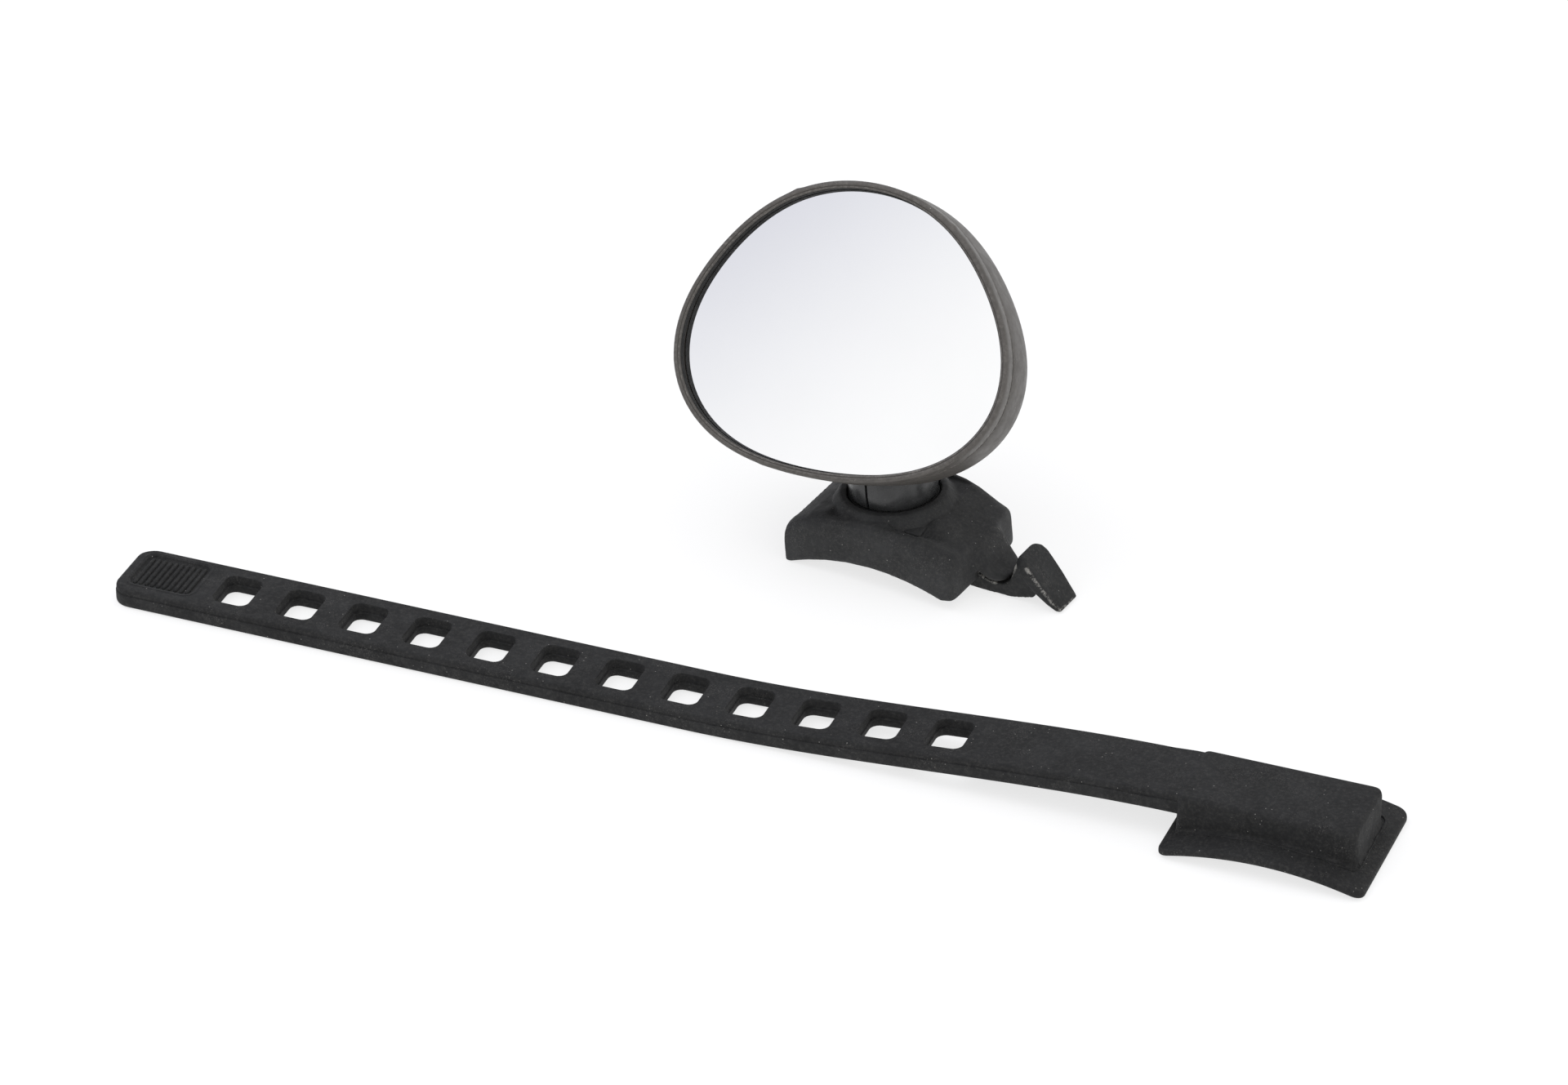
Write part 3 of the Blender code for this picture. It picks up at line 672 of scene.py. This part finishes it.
def tab_bead():
    """Thin raised line round the thumb panel."""
    outline = rounded_rectangle(TAB_LENGTH + 0.9 * MM, TAB_WIDTH + 0.9 * MM, 1.7 * MM, 8)
    rings = []
    for a, b in arc((0, 0), 1.0, 0, 330, 11):
        grow = 0.2 * MM * a
        count = len(outline)
        ring = []
        for i, (x, y) in enumerate(outline):
            before, after = outline[i - 1], outline[(i + 1) % count]
            along = Vector((after[0] - before[0], after[1] - before[1])).normalized()
            ring.append((TAB_X + x + along.y * grow, TAB_Y + y - along.x * grow,
                         BAND_THICK - 0.04 * MM + 0.11 * MM * b))
        rings.append(ring)
    bm = bmesh.new()
    skin(bm, rings, closed=True)
    return piece("tab_bead", bm)


def make_strap():
    strap = piece("strap", band_solid())
    combine(strap, piece("block", block_solid()), "UNION")
    combine(strap, hole_cutters(), "DIFFERENCE")
    combine(strap, tab_cutter(), "DIFFERENCE")
    combine(strap, tab_ribs(), "UNION")
    dress(strap, "strap_rubber", "strap", "strap_band")
    dress(tab_bead(), "strap_rubber", "strap")


def make_pad():
    low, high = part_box("anchor_pad")
    half = (high.y - low.y) / 2
    rings = []
    steps = [0.0, 0.05, 0.13, 0.25, 0.4, 0.6, 0.85, 1.15, 1.5, 2.0]
    places = [low.x + step * MM for step in steps]
    places += spread(low.x + 2.5 * MM, high.x - 2.5 * MM, 28)
    places += [high.x - step * MM for step in reversed(steps)]
    for x in places:
        away = min(x - low.x, high.x - x)
        width = half - inset_at(away, 1.7 * MM)
        thin = 0.7 * inset_at(away, 0.5 * MM)
        under = pad_underside(x)
        bottom, top = under + thin, under + PAD_THICK - thin
        edge = 0.45 * (top - bottom)
        right = arc((width - edge, top - edge), edge, 90, 0, 5)
        right += arc((width - edge, bottom + edge), edge, 0, -90, 5)
        section = right + [(-y, z) for y, z in reversed(right)]
        rings.append([(x, y, z) for y, z in section])
    dress(piece("strap_pad", loft(rings)), "strap_rubber", "strap", "anchor_pad")


def make_flash():
    """Ragged thread of rubber that the mould left where the block meets the pad."""
    half = BLOCK_WIDTH / 2 + 0.62 * MM
    left, right = BLOCK_X[0] + 0.6 * MM, BLOCK_X[1] + 0.45 * MM
    route = [(x, -half) for x in spread(left, right - 1.2 * MM, 90)]
    route += arc((right - 1.2 * MM, -half + 1.2 * MM), 1.2 * MM, -80, 0, 7)
    route += [(right, y) for y in spread(-half + 1.5 * MM, half - 1.5 * MM, 40)]
    route += arc((right - 1.2 * MM, half - 1.2 * MM), 1.2 * MM, 0, 80, 7)
    route += [(x, half) for x in spread(right - 1.4 * MM, left, 90)]
    rings = []
    for i, (x, y) in enumerate(route):
        before, after = route[max(i - 1, 0)], route[min(i + 1, len(route) - 1)]
        along = Vector((after[0] - before[0], after[1] - before[1])).normalized()
        out = Vector((along.y, -along.x))
        wild = noise.noise(Vector((x * 620, y * 620, 1.7)))
        reach = 0.14 * MM + 0.26 * MM * max(wild, -0.3)
        tall = 0.2 * MM + 0.2 * MM * noise.noise(Vector((x * 900, y * 900, 5.1)))
        shift = 0.09 * MM * noise.noise(Vector((x * 300, y * 300, 9.3)))
        base = pad_underside(x) + PAD_THICK
        ring = []
        for a, b in arc((0, 0), 1.0, 0, 315, 7):
            grow = reach * a + shift
            ring.append((x + out.x * grow, y + out.y * grow, base + tall * b))
        rings.append(ring)
    dress(piece("strap_flash", loft(rings), crease=80), "strap_rubber", "strap")


# ---------------------------------------------------------------- saddle and hook

def soften(name, node, voxel, passes):
    """A copy of a CAD node's mesh as one even skin, its edges rounded as moulded ones are."""
    thing = bpy.data.objects.new(name, NODES[node].data.copy())
    bpy.context.scene.collection.objects.link(thing)
    weld = thing.modifiers.new("weld", "WELD")
    weld.merge_threshold = 0.000001
    even = thing.modifiers.new("even", "REMESH")
    even.mode = "VOXEL"
    even.voxel_size = voxel
    even.adaptivity = 0.0
    smooth = thing.modifiers.new("smooth", "SMOOTH")
    smooth.factor = 0.5
    smooth.iterations = passes
    settle(thing, 180)
    thing.data.materials.clear()
    return thing


def bell(x, y, middle, width, turn=0.0):
    """1 at the middle, fading to 0 over width in x and y, the ellipse turned."""
    dx, dy = x - middle[0], y - middle[1]
    a = dx * cos(turn) + dy * sin(turn)
    b = dy * cos(turn) - dx * sin(turn)
    return exp(-(a / width[0]) ** 2 - (b / width[1]) ** 2)


def blend_nose(saddle, inverse):
    """Evens out the step where the saddle's end narrows into its nose."""
    group = saddle.vertex_groups.new(name="nose")
    for vertex in saddle.data.vertices:
        own = inverse @ vertex.co / MM
        share = ramp(own.x, 11.5, 13.5) * ramp(own.z, 1.2, 2.7)
        if share > 0:
            group.add([vertex.index], share * (1 - ramp(own.x, 17.0, 18.0)), "REPLACE")
    smooth = saddle.modifiers.new("blend", "SMOOTH")
    smooth.factor = 0.5
    smooth.iterations = NOSE_PASSES
    smooth.vertex_group = "nose"
    settle(saddle, 180)


def make_saddle():
    """The rubber saddle, with a hollow between its front ridge and the collar."""
    saddle = soften("saddle", "saddle_body", SADDLE_VOXEL, SADDLE_PASSES)
    inverse = SADDLE.inverted()
    blend_nose(saddle, inverse)
    for vertex in saddle.data.vertices:
        own = inverse @ vertex.co
        x, y, z = own / MM
        up = max(0.0, (inverse.to_3x3() @ vertex.normal).z)
        from_axis = hypot(x, y)
        if z < SADDLE_TOP_Z or from_axis < COLLAR_R:
            continue
        fade = min(1.0, (from_axis - COLLAR_R) / COLLAR_FADE) * up
        hollow = 1.5 * bell(x, y, (7.2, -7.1), (4.2, 1.2), radians(12))
        hollow += 0.45 * bell(x, y, (-3.0, -8.3), (4.5, 0.6))
        own.z -= hollow * fade * MM
        vertex.co = SADDLE @ own
    dress(saddle, "saddle_rubber", "saddle", "saddle_body")


def make_hook():
    hook = soften("hook", "core_and_hook", HOOK_VOXEL, HOOK_PASSES)
    dress(hook, "hook_plastic", "saddle", "core_and_hook")


# ---------------------------------------------------------------- ball joint

def make_cup():
    seat = arc((0, BALL_Z), SEAT_R, -90, 34, 30)
    profile = [(0, BALL_Z - SEAT_R)] + seat[1:]
    profile += [(4.15 * MM, CUP_TOP - 0.12 * MM), (4.3 * MM, CUP_TOP), (CUP_R - 0.45 * MM, CUP_TOP)]
    profile += arc((CUP_R - 0.4 * MM, CUP_TOP - 0.4 * MM), 0.4 * MM, 80, 0, 6)
    profile += [(CUP_R, 13.4 * MM), (CUP_R, 12.0 * MM), (6.6 * MM, 10.9 * MM),
                (6.5 * MM, 9.95 * MM), (6.42 * MM, 9.85 * MM), (6.1 * MM, 9.8 * MM),
                (6.1 * MM, 9.1 * MM), (6.4 * MM, 9.0 * MM), (6.3 * MM, 8.6 * MM),
                (CUP_FOOT_R, 8.6 * MM), (CUP_FOOT_R, 7.05 * MM), (4.6 * MM, 7.05 * MM),
                (4.6 * MM, 6.55 * MM), (CUP_FOOT_R, 6.55 * MM), (CUP_FOOT_R, CUP_BOTTOM),
                (0, CUP_BOTTOM)]
    cup = piece("cup", turned([(r, z - BALL_Z) for r, z in profile], 120), BALL)
    bm = bmesh.new()
    for i in range(SLIT_COUNT):
        spin = Matrix.Rotation(SLIT_TURN + 2 * pi * i / SLIT_COUNT, 3, "Z")
        rings = []
        for z, grow in ((SLIT_BOTTOM, 0.0), (CUP_TOP - 0.15 * MM, 0.0),
                        (CUP_TOP + 0.1 * MM, 0.15 * MM), (CUP_TOP + MM, 0.15 * MM)):
            h = SLIT_HALF + grow
            corners = [(2.5 * MM, -h), (9 * MM, -h), (9 * MM, h), (2.5 * MM, h)]
            rings.append([spin @ Vector((x, y, z - BALL_Z)) for x, y in corners])
        skin(bm, rings)
    combine(cup, piece("cup_slits", bm, BALL), "DIFFERENCE")
    dress(cup, "socket_plastic", "socket", "socket_cup")


# ---------------------------------------------------------------- head

def outline_radius(angle):
    wide = 1.82 * MM * cos(2 * angle)
    point = -1.15 * MM * sin(3 * angle) - 0.2 * MM * sin(5 * angle)
    return OUTLINE_R + wide + point + 0.1 * MM * sin(angle)


def outline_ring(depth, offset=0.0, scale=1.0, flare=0.0, nick=None):
    """The head's outline pushed out by offset, depth behind the rim's front.

    A flare adds to the offset at the head's sides, and nothing at its top.
    """
    ring = []
    x, y, z = HEAD_MIDDLE
    for i in range(OUTLINE_STEPS):
        angle = 2 * pi * i / OUTLINE_STEPS
        more = nick(angle) if nick else 0.0
        more += flare * abs(cos(angle)) * (1 - max(0.0, sin(angle)))
        r = (outline_radius(angle) + offset + more) * scale
        ring.append((x + r * cos(angle), y + depth, z + r * sin(angle)))
    return ring


def mould_nicks(angle):
    """Small stubs and dips left on the rim's outer edge where the mould was fed."""
    total = 0.0
    for place, width, height in NICKS:
        away = (angle - radians(place) + pi) % (2 * pi) - pi
        total += height * MM * exp(-(away / radians(width)) ** 2)
    return total


def make_rim():
    """Rim with a beaded front edge, seated in the shell on a thin skirt."""
    section = ((0.0, 3.7), (0.0, 1.2), (0.0, 0.55), (0.03, 0.36), (0.1, 0.22), (0.2, 0.13),
               (0.3, 0.1), (0.35, 0.17), (0.4, 0.17), (0.45, 0.06), (0.55, 0.01),
               (0.7, 0.0), (0.85, 0.05), (0.98, 0.16), (1.08, 0.32), (1.14, 0.52), (1.16, 0.8),
               (1.16, 2.35), (1.06, 2.5), (0.45, 2.5), (0.45, 4.15), (-2.0, 4.15), (-2.0, 3.7))
    bm = bmesh.new()
    rings = []
    for offset, depth in section:
        nick = mould_nicks if offset > 1.0 and depth < 2 else None
        rings.append(outline_ring(depth * MM, offset * MM, nick=nick))
    skin(bm, rings, closed=True)
    dress(piece("rim", bm, HEAD, 50), "head_plastic", "head", "bezel_ring")


def make_step_ring():
    """Thin ring of black strap rubber over the step between the rim's edge and the glass, which makes that step
    dark.
    """
    section = ((-0.05, 0.42), (-0.05, 1.55), (0.02, 1.55), (0.02, 0.42))
    bm = bmesh.new()
    skin(bm, [outline_ring(depth * MM, offset * MM) for offset, depth in section], closed=True)
    dress(piece("black_glass_step", bm, HEAD, 50), "strap_rubber", "head")


def make_glass():
    """Convex mirror: spherical front, a narrow ground bevel, a flat back."""
    bm = bmesh.new()
    edge = -0.05 * MM

    def front(scale):
        ring = []
        for x, y, z in outline_ring(GLASS_EDGE, edge, scale):
            r = hypot(x - HEAD_MIDDLE[0], z - HEAD_MIDDLE[2])
            ring.append((x, y - (OUTLINE_R ** 2 - r * r) / (2 * GLASS_R), z))
        return ring

    rings = [outline_ring(GLASS_BACK, edge), outline_ring(GLASS_BACK - 0.9 * MM, edge)]
    rows = 26
    rings += [front(0.996 * (1 - k / rows)) for k in range(rows)]
    skin(bm, rings)
    bm.faces.ensure_lookup_table()
    bmesh.ops.poke(bm, faces=[bm.faces[-1]])
    dress(piece("glass", bm, HEAD, 30), "mirror_silver", "head", "mirror_glass")


def make_shell():
    outside = ((2.8, 0.98, 1.0, 0.05), (2.95, 1.12, 1.0, 0.1), (4.4, 1.17, 1.0, 0.22),
               (8.0, 1.07, 1.0, 0.22), (10.5, 0.72, 1.0, 0.13), (12.0, 0.17, 1.0, 0.08),
               (13.4, -0.22, 0.96, 0.0), (14.7, -0.32, 0.88, 0.0), (15.8, -0.32, 0.75, 0.0),
               (16.55, -0.32, 0.57, 0.0), (17.03, -0.32, 0.35, 0.0), (17.2, -0.3, 0.17, 0.0),
               (17.22, -0.3, 0.02, 0.0))
    inside = ((2.0, 0.6, 1.0), (5.2, 0.6, 1.0), (8.0, 0.1, 1.0), (10.5, -0.4, 1.0),
              (11.8, -0.3, 0.955), (13.1, -0.3, 0.89), (14.2, -0.3, 0.79), (15.1, -0.3, 0.64),
              (15.7, -0.3, 0.45), (16.0, -0.3, 0.24), (16.1, -0.3, 0.1))
    outer = [outline_ring(d * MM, (o - SHELL_INSET) * MM, s, f * MM)
             for d, o, s, f in refined(outside, 4)]
    inner = [outline_ring(d * MM, o * MM, s) for d, o, s in refined(inside, 3)]
    shell = piece("shell", loft(outer), HEAD, 42)
    room = [(0, -CLEAR_R)] + arc((0, 0), CLEAR_R, -90, 90, 30)[1:-1] + [(0, CLEAR_R)]
    grow = (CLEAR_R + CLEAR_WALL) / CLEAR_R
    wall = [(r * grow, z * grow) for r, z in room]
    cavity = piece("shell_cavity", loft(inner), HEAD)
    combine(cavity, piece("room_wall", turned(wall, 96), HEAD), "DIFFERENCE")
    combine(shell, cavity, "DIFFERENCE")
    combine(shell, piece("room", turned(room, 96), HEAD), "DIFFERENCE")
    low, high = STUD_HOLE_Z
    bore = [(0, low), (STUD_HOLE_R, low), (STUD_HOLE_R, high), (0, high)]
    combine(shell, piece("stud_hole", turned(bore, 48), BALL), "DIFFERENCE")
    settle(shell, 32)
    dress(shell, "head_plastic", "head", "head_shell")


# ---------------------------------------------------------------- the rest

def paint_cad_nodes():
    """Inner parts keep their CAD shape and take a worked material."""
    slots = {part["node"]: part["material_slot"] for part in RECORD["subparts"]}
    for name, node in NODES.items():
        if node.hide_render:
            continue
        node.data.materials.clear()
        node.data.materials.append(PAINTS[slots[name]])


def make_camera():
    data = bpy.data.cameras.new("camera")
    data.lens = CAMERA_LENS
    data.sensor_width = SENSOR_WIDTH
    camera = bpy.data.objects.new("camera", data)
    bpy.context.scene.collection.objects.link(camera)
    camera.location = CAMERA_PLACE
    camera.rotation_euler = (pi / 2 - CAMERA_ELEVATION, 0, CAMERA_AZIMUTH)
    bpy.context.scene.camera = camera


def make_floor():
    bm = bmesh.new()
    reach = FLOOR_REACH
    level = min(0.0, CAD_LOW.z) - FLOOR_DROP
    corners = [(-reach, -reach), (reach, -reach), (reach, reach), (-reach, reach)]
    bm.faces.new([bm.verts.new((x, y, level)) for x, y in corners])
    mesh = bpy.data.meshes.new("floor")
    bm.to_mesh(mesh)
    bm.free()
    floor = bpy.data.objects.new("floor", mesh)
    bpy.context.scene.collection.objects.link(floor)
    paint = Paint("floor_paper")
    tone = paint.band(paint.cloud(3.0), 0.3, 0.7)
    paint.link(paint.mix(tone, (0.3, 0.3, 0.3), (0.32, 0.32, 0.32)),
               paint.shader.inputs["Base Color"])
    paint.shader.inputs["Roughness"].default_value = 0.95
    paint.shader.inputs["Specular IOR Level"].default_value = 0.1
    paint.shader.inputs["Emission Color"].default_value = (1.0, 1.0, 1.0, 1.0)
    paint.shader.inputs["Emission Strength"].default_value = FLOOR_GLOW
    mesh.materials.append(paint.made)


def make_world():
    """Soft white surroundings, a little cooler and darker to the upper left."""
    world = bpy.data.worlds.new("studio")
    bpy.context.scene.world = world
    world.use_nodes = True
    tree = world.node_tree
    where = tree.nodes.new("ShaderNodeTexCoord").outputs["Generated"]
    along = tree.nodes.new("ShaderNodeVectorMath")
    along.operation = "DOT_PRODUCT"
    tree.links.new(where, along.inputs[0])
    along.inputs[1].default_value = (0.72, -0.1, -0.69)
    fade = tree.nodes.new("ShaderNodeMapRange")
    fade.interpolation_type = "SMOOTHSTEP"
    for key, number in (("From Min", -0.95), ("From Max", -0.4)):
        fade.inputs[key].default_value = number
    tree.links.new(along.outputs["Value"], fade.inputs["Value"])
    tint = tree.nodes.new("ShaderNodeMix")
    tint.data_type = "RGBA"
    tree.links.new(fade.outputs["Result"], tint.inputs["Factor"])
    shades = [s for s in tint.inputs if s.type == "RGBA"]
    shades[0].default_value = (0.55, 0.56, 0.65, 1)
    shades[1].default_value = (1.0, 1.0, 1.0, 1)
    back = tree.nodes["Background"]
    tree.links.new([s for s in tint.outputs if s.type == "RGBA"][0], back.inputs["Color"])
    back.inputs["Strength"].default_value = WORLD_STRENGTH


def soft_box(name, place, size, power, aim=(0.02, 0.03, 0.02)):
    data = bpy.data.lights.new(name, "AREA")
    data.shape = "RECTANGLE"
    data.size, data.size_y = size
    data.energy = power
    lamp = bpy.data.objects.new(name, data)
    bpy.context.scene.collection.objects.link(lamp)
    lamp.location = place
    lamp.rotation_mode = "QUATERNION"
    lamp.rotation_quaternion = (Vector(place) - Vector(aim)).to_track_quat("Z", "Y")


def make_light():
    make_world()
    soft_box("key", (-0.5, -0.15, 0.9), (0.6, 0.6), 2.2)
    soft_box("top", (-0.25, 0.2, 1.2), (0.9, 0.9), 1.4)


make_strap()
make_pad()
make_flash()
make_saddle()
make_hook()
make_cup()
make_rim()
make_step_ring()
make_glass()
make_shell()
paint_cad_nodes()
make_camera()
make_floor()
make_light()
bpy.context.scene.view_settings.view_transform = "Standard"
